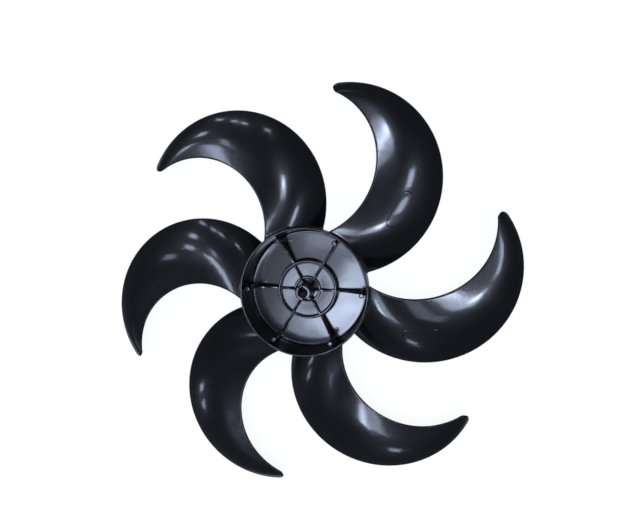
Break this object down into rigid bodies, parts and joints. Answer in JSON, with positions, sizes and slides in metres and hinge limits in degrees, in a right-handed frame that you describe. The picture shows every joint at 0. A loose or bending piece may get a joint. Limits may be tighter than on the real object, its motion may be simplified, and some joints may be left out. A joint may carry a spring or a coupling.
{
  "type": "axial fan impeller",
  "caption": "One-piece moulded axial fan impeller with forward-swept sickle blades round an open ribbed hub cup and a bored, slotted shaft boss.",
  "frame": {"origin": "on the bore axis at the closed front face of the hub, which is the lowest plane", "axes": "+Z along the bore axis from the closed front face to the open rear side of the cup, where the motor shaft enters"},
  "size_m": [0.3848, 0.3762, 0.0363],
  "materials": {
    "black_plastic": "gloss"
  },
  "bodies": {
    "root": {"impeller": "black_plastic"}
  },
  "joints": []
}
